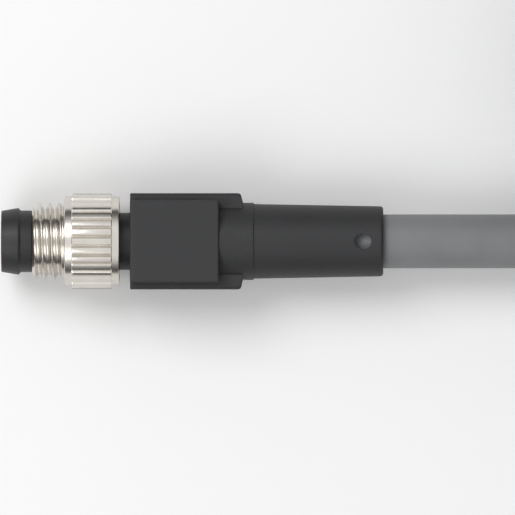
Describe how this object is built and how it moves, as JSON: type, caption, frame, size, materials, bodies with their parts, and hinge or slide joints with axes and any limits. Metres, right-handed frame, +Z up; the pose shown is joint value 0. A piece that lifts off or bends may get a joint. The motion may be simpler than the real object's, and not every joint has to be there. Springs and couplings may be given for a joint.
{
  "type": "circular sensor cable",
  "caption": "Straight moulded round sensor plug with a knurled threaded nut and snap nose on a cable that ends in stripped leads.",
  "frame": {"origin": "middle of the plug's box at the surface it lies on, under the knurled nut's lowest rib", "axes": "+X along the plug from its nose towards the cable, +Z up through one label plate, +Y towards one fin"},
  "size_m": [0.1455, 0.0537, 0.0278],
  "materials": {
    "nickel_plated_brass": "bright nickel plate over turned brass",
    "carrier_plastic": "glass-filled nylon, as moulded",
    "gold_contact": "gold flash over brass",
    "grip_elastomer": "fine matt moulded thermoplastic elastomer",
    "potting_resin": "hot-melt potting",
    "insulation_brown": "extruded core insulation",
    "insulation_blue": "extruded core insulation",
    "insulation_black": "extruded core insulation",
    "cable_jacket": "matt extruded polyurethane jacket",
    "tinned_copper": "tinned stranded copper",
    "tie_nylon": "natural nylon"
  },
  "bodies": {
    "plug": {"contact_carrier": "carrier_plastic", "contact_pin_1": "gold_contact", "contact_pin_3": "gold_contact", "contact_pin_4": "gold_contact", "inner_core_brown": "insulation_brown", "inner_core_blue": "insulation_blue", "inner_core_black": "insulation_black", "potting": "potting_resin", "grip_body": "grip_elastomer", "cable": "cable_jacket", "cable_hank": "cable_jacket", "lead_brown": "insulation_brown", "lead_blue": "insulation_blue", "lead_black": "insulation_black", "bare_end_brown": "tinned_copper", "bare_end_blue": "tinned_copper", "bare_end_black": "tinned_copper", "hank_tie_near": "tie_nylon", "hank_tie_far": "tie_nylon"},
    "nut": {"coupling_nut": "nickel_plated_brass"}
  },
  "joints": [
    {"name": "nut_spin", "type": "hinge", "parent": "plug", "child": "nut", "pos_m": [-0.01209, 0, 0.00495], "axis": [1, 0, 0], "continuous": true}
  ]
}
